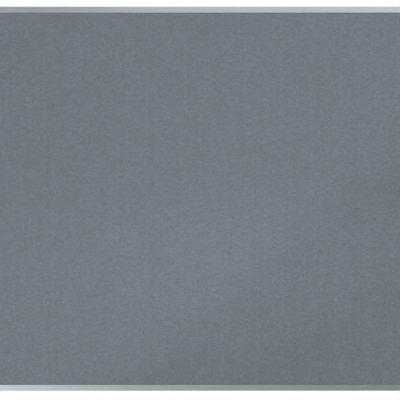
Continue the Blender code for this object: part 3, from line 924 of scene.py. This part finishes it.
class NOTICEBOARD_OT_fit_rails(Operator):
    """Extrude the four aluminium rails and drill them for their screws"""

    bl_idname = "notice_board.fit_rails"
    bl_label = "Fit Rails"

    def execute(self, context):
        settings = context.scene.board_frame
        materials = [anodised_aluminium(settings.aluminium_colour, upright) for upright in (False, True)]
        tree = rail_tree()
        for quarter, edge in enumerate(EDGES):
            node = "rail_" + edge
            material = materials[quarter % 2]
            along = ALONG[quarter]
            axes = Matrix((FORWARD.cross(along), FORWARD, along)).transposed().to_4x4()
            low, high = self.own_box(node, axes)
            head_low, head_high = self.own_box(SCREWS[2 * quarter], axes)
            head = (head_low + head_high) / 2
            inset, depth, reach = head.x - low.x, head_low.y, abs(head.z)
            values = {
                "First Screw": (inset, depth, -reach),
                "Last Screw": (inset, depth, reach),
                "Start": (low.z - high.z) / 2,
                "Length": high.z - low.z,
                "Head Radius": (head_high.z - head_low.z) / 2 + SCREW_CLEARANCE,
                "Shank Radius": SCREW_SHANK + SCREW_CLEARANCE,
                "Mouth": SCREW_RIM + DRILL_OVERRUN,
                "Cone Start": SCREW_RIM - WELD,
                "Cone": SCREW_CONE - SCREW_RIM,
                "Material": material,
            }
            section = self.section(high.x - low.x, low.y, high.y, settings.arc_steps)
            section.matrix_world = axes @ Matrix.Translation((low.x, 0, 0))
            mesh = smoothed(grown(node + "_extrusion", section, tree, values))
            add_piece(node + "_extrusion", mesh, material, nodes=[node])
        return {"FINISHED"}

    def own_box(self, node, axes):
        """Low and high corner of a solid along its rail's axes: inward, forward and along."""
        corners = [axes.inverted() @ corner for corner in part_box(node)]
        return Vector(map(min, *corners)), Vector(map(max, *corners))

    def section(self, width, back, front, steps):
        """Curve with the rail's outline and its chamber, inward along x and forward along y."""
        web = width - RAIL_FRONT_LIP
        back_lip = web + RAIL_BACK_LIP
        over = back + RAIL_WALL
        under = front - RAIL_WALL
        fine = RAIL_FINE_RADIUS
        outer = [
            (0, back, RAIL_BACK_RADIUS),
            (back_lip, back, fine),
            (back_lip, over, fine),
            (web, over, fine),
            (web, under, fine),
            (width, under, fine),
            (width, front, fine),
            (0, front, RAIL_FRONT_RADIUS),
        ]
        chamber = [
            (RAIL_WALL, over, CHAMBER_RADIUS),
            (web - RAIL_WALL, over, CHAMBER_RADIUS),
            (web - RAIL_WALL, under, CHAMBER_RADIUS),
            (RAIL_WALL, under, CHAMBER_RADIUS),
        ]
        curve = bpy.data.curves.new("rail_section", "CURVE")
        curve.dimensions = "2D"
        curve.fill_mode = "NONE"
        for corners in (outer, chamber):
            outline = rounded(corners, steps)
            spline = curve.splines.new("POLY")
            spline.points.add(len(outline) - 1)
            for point, (x, y) in zip(spline.points, outline):
                point.co = (x, y, 0, 1)
            spline.use_cyclic_u = True
        return helper("rail_section", curve)


class NOTICEBOARD_OT_fit_corners(Operator):
    """Soften the edges of the four moulded corners and give them their texture"""

    bl_idname = "notice_board.fit_corners"
    bl_label = "Fit Corners"

    def execute(self, context):
        settings = context.scene.board_frame
        material = moulded_abs(settings.corner_colour, "moulded_grey_abs")
        for place in PLACES:
            node = "corner_" + place
            shape = bmesh.new()
            shape.from_mesh(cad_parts[node].data)
            bmesh.ops.remove_doubles(shape, verts=shape.verts, dist=WELD)
            bmesh.ops.dissolve_limit(
                shape, angle_limit=math.radians(1), verts=shape.verts, edges=shape.edges
            )
            moulding = made(node + "_moulding", shape)
            soften = moulding.modifiers.new("soften", "BEVEL")
            soften.width = settings.edge_radius
            soften.segments = 2
            soften.limit_method = "ANGLE"
            soften.angle_limit = math.radians(40)
            moulding.modifiers.new("weld", "WELD").merge_threshold = WELD / 10
            mesh = smoothed(flattened(node + "_moulding", moulding), degrees=30)
            add_piece(node + "_moulding", mesh, material, nodes=[node])
        return {"FINISHED"}


class NOTICEBOARD_OT_fit_covers(Operator):
    """Turn the four push-in covers, with their split and beaded skirts"""

    bl_idname = "notice_board.fit_covers"
    bl_label = "Fit Covers"

    def execute(self, context):
        settings = context.scene.board_frame
        material = moulded_abs(settings.corner_colour, "moulded_grey_abs_cover")
        for place in PLACES:
            node = "cover_" + place
            low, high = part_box(node)
            rim = (high.x - low.x) / 2
            cap = self.cap(node + "_cap", rim, -high.y, -low.y, settings.turned_steps)
            cap.location = ((low.x + high.x) / 2, 0, (low.z + high.z) / 2)
            mesh = smoothed(flattened(node + "_cap", cap), degrees=40)
            add_piece(node + "_cap", mesh, material, place + "_cover", [node])
        return {"FINISHED"}

    def cap(self, name, rim, end, top, steps):
        """Crowned disc on a split skirt, about +Y, from its half outline."""
        edge = top - COVER_CROWN
        under = edge - (COVER_EDGE - COVER_CROWN)
        bead = end + SKIRT_BEAD_RISE
        quarter = [math.pi / 2 * step / COVER_ARC_STEPS for step in range(COVER_ARC_STEPS + 1)]
        crown = [(rim * math.sin(turn), edge + COVER_CROWN * math.cos(turn)) for turn in quarter]
        foot = [
            (
                rim - COVER_EDGE_RADIUS * (1 - math.cos(turn)),
                under + COVER_EDGE_RADIUS * (1 - math.sin(turn)),
            )
            for turn in quarter[::2]
        ]
        outline = [
            *crown,
            *foot,
            (SKIRT_RADIUS, under),
            (SKIRT_RADIUS, bead + SKIRT_BEAD_RISE / 2),
            (SKIRT_RADIUS + SKIRT_BEAD, bead),
            (SKIRT_RADIUS - SKIRT_WALL / 2, end),
            (SKIRT_RADIUS - SKIRT_WALL, end),
            (SKIRT_RADIUS - SKIRT_WALL, under),
            (0, under),
        ]
        cap = turned(name, outline, steps)
        height = under - SKIRT_SLOT_ROOT - end
        for angle in (45, 135):
            slot = bmesh.new()
            bmesh.ops.create_cube(slot, size=1)
            size = Matrix.Diagonal((2 * rim, 2 * height, SKIRT_SLOT, 1))
            place = Matrix.Rotation(math.radians(angle), 4, "Y") @ size
            bmesh.ops.transform(slot, matrix=place, verts=slot.verts)
            bmesh.ops.translate(slot, vec=(0, -end, 0), verts=slot.verts)
            cutter = made("slot", slot)
            cut = cap.modifiers.new("slot", "BOOLEAN")
            cut.operation = "DIFFERENCE"
            cut.solver = "EXACT"
            cut.object = cutter
            mesh = flattened(name, cap)
            bpy.data.objects.remove(cutter)
            cap = helper(name, mesh)
        return cap


class NOTICEBOARD_OT_drive_screws(Operator):
    """Drive the eight locking screws that hold the rails to the corners"""

    bl_idname = "notice_board.drive_screws"
    bl_label = "Drive Screws"

    def execute(self, context):
        settings = context.scene.board_frame
        material = bright_zinc(settings.zinc_colour)
        boxes = [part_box(name) for name in SCREWS]
        heads = [((low.x + high.x) / 2, high.y, (low.z + high.z) / 2) for low, high in boxes]
        points = bpy.data.meshes.new("screw_heads")
        points.from_pydata(heads, [], [])
        low, high = boxes[0]
        point_start = high.y - low.y - SCREW_POINT
        thread_run = point_start - SCREW_CONE
        span, width = settings.recess_span, settings.recess_width
        through = 2 * settings.recess_depth
        values = {
            "Level Bar": (span, width, through),
            "Upright Bar": (width, span, through),
            "Head Radius": (high.x - low.x) / 2,
            "Core Radius": SCREW_SHANK - settings.thread_height,
            "Rim": SCREW_RIM,
            "Cone Start": SCREW_RIM - WELD,
            "Cone": SCREW_CONE - SCREW_RIM,
            "Shank": point_start - SCREW_RIM,
            "Point Start": point_start - WELD,
            "Point": SCREW_POINT,
            "Thread Start": SCREW_CONE,
            "Thread Run": thread_run,
            "Thread Turns": thread_run / settings.thread_pitch,
            "Thread Height": settings.thread_height,
            "Seed": RECESS_SEED,
            "Material": material,
        }
        mesh = smoothed(grown("locking_screws", helper("screw_heads", points), screw_tree(), values))
        add_piece("locking_screws", mesh, material, nodes=SCREWS)
        return {"FINISHED"}


class NOTICEBOARD_OT_set_studio(Operator):
    """Set the floor, the lamps, the background and the camera"""

    bl_idname = "notice_board.set_studio"
    bl_label = "Set Studio"

    def execute(self, context):
        settings = context.scene.board_studio
        scene = context.scene
        scene.view_settings.view_transform = "Standard"
        scene.world = studio_world(settings.room_level)
        self.lay_floor(settings)
        self.hang_lamps()
        self.place_camera(scene, settings)
        return {"FINISHED"}

    def lay_floor(self, settings):
        """Round floor under the board, which the object's shadow falls on."""
        shape = bmesh.new()
        bmesh.ops.create_circle(
            shape, cap_ends=True, segments=FLOOR_SIDES, radius=settings.floor_radius
        )
        floor = made("floor", shape)
        floor.data.materials.append(painted_floor(settings.floor_colour, settings.floor_radius))
        floor.location = (0, 0, -settings.hanging_height)

    def hang_lamps(self):
        """Soft boxes on a ball round the board, and spots whose edges cross the felt."""
        for name, across, above, watts in SOFT_BOXES:
            data = bpy.data.lights.new(name, "AREA")
            data.shape = "SQUARE"
            data.size = BOX_SIDE
            data.energy = watts
            place = BOX_DISTANCE * FORWARD
            place.rotate(Euler((math.radians(-above), 0, math.radians(across))))
            self.aim(helper(name, data), place, Vector())
        for name, place, target, cone, blend, watts in SPOTS:
            data = bpy.data.lights.new(name, "SPOT")
            data.spot_size = math.radians(cone)
            data.spot_blend = blend
            data.energy = watts
            data.shadow_soft_size = SPOT_RADIUS
            self.aim(helper(name, data), Vector(place), Vector(target))

    def aim(self, lamp, place, target):
        """Puts a lamp in its place, turned towards its target."""
        lamp.location = place
        lamp.rotation_mode = "QUATERNION"
        lamp.rotation_quaternion = (target - place).to_track_quat("-Z", "Y")
        lamp.visible_camera = False

    def place_camera(self, scene, settings):
        """Looks straight at the board from where its frame has the photographed height."""
        bottom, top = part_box("rail_bottom")[0].z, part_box("rail_top")[1].z
        data = bpy.data.cameras.new("front_camera")
        data.lens = settings.lens
        data.sensor_width = SENSOR_WIDTH
        pixel = (top - bottom) / settings.frame_pixels
        distance = pixel * PICTURE_SIDE * data.lens / data.sensor_width
        edge_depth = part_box("rail_top")[0].y + RAIL_FRONT_RADIUS
        height = (settings.middle_pixels - PICTURE_SIDE / 2) * pixel
        camera = helper("front_camera", data)
        camera.location = (0, edge_depth - distance, (bottom + top) / 2 + height)
        camera.rotation_euler = (math.pi / 2, 0, 0)
        scene.camera = camera


class NOTICEBOARD_PT_finish(Panel):
    """Lists the steps that finish the notice board"""

    bl_idname = "NOTICEBOARD_PT_finish"
    bl_label = "Notice Board"
    bl_space_type = "VIEW_3D"
    bl_region_type = "UI"
    bl_category = "Notice Board"

    def draw(self, context):
        layout = self.layout
        for step in STEPS:
            layout.operator(step.bl_idname)
        for group in GROUPS:
            settings = getattr(context.scene, group)
            box = layout.box()
            for name in settings.__annotations__:
                box.prop(settings, name)


STEPS = (
    NOTICEBOARD_OT_lay_felt,
    NOTICEBOARD_OT_finish_boards,
    NOTICEBOARD_OT_fit_rails,
    NOTICEBOARD_OT_fit_corners,
    NOTICEBOARD_OT_fit_covers,
    NOTICEBOARD_OT_drive_screws,
    NOTICEBOARD_OT_set_studio,
)
GROUPS = {
    "board_panel": PanelSettings,
    "board_frame": FrameSettings,
    "board_studio": StudioSettings,
}
CLASSES = (*GROUPS.values(), *STEPS, NOTICEBOARD_PT_finish)


def register():
    for cls in CLASSES:
        bpy.utils.register_class(cls)
    for name, group in GROUPS.items():
        setattr(bpy.types.Scene, name, PointerProperty(type=group))


def unregister():
    for name in GROUPS:
        delattr(bpy.types.Scene, name)
    for cls in reversed(CLASSES):
        bpy.utils.unregister_class(cls)


def main():
    register()
    bpy.ops.notice_board.lay_felt()
    bpy.ops.notice_board.finish_boards()
    bpy.ops.notice_board.fit_rails()
    bpy.ops.notice_board.fit_corners()
    bpy.ops.notice_board.fit_covers()
    bpy.ops.notice_board.drive_screws()
    bpy.ops.notice_board.set_studio()


if __name__ == "__main__":
    main()
